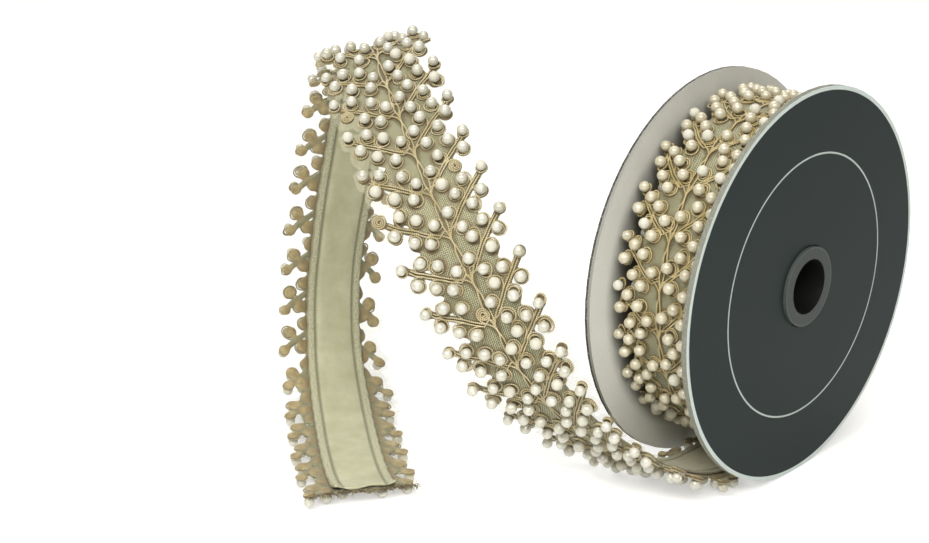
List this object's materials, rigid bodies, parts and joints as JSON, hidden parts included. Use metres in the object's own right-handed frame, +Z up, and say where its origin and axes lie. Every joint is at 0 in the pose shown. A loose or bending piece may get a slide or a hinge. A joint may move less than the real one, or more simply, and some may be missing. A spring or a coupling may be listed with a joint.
{
  "type": "beaded trim on a card reel",
  "caption": "Pearl beaded trim of leaf shaped petals wound on a card reel, its ribbon backed loose end arched beside it",
  "frame": {"origin": "the middle of the flat at the bottom of the front flange's rim, in the plane it stands on", "axes": "X runs level across the face of the reel, and the trim leaves the roll towards -X. Y is the reel's axis, from the front flange to the back one. Z is up."},
  "size_m": [0.1906, 0.1733, 0.134],
  "materials": {
    "face_card": "dark slate printed card, satin, with a pale ring at the rim",
    "grey_card": "uncoated grey card",
    "hub_plastic": "dark moulded core",
    "pearl_trim": "pearl beads corded onto gold and silver woven cloth",
    "cream_ribbon": "plain woven cream ribbon"
  },
  "bodies": {
    "root": {"front_flange": "face_card", "back_flange": "grey_card", "hub_tube": "hub_plastic", "wound_roll": "pearl_trim", "loose_band": "pearl_trim", "backing_ribbon": "cream_ribbon"}
  },
  "joints": []
}
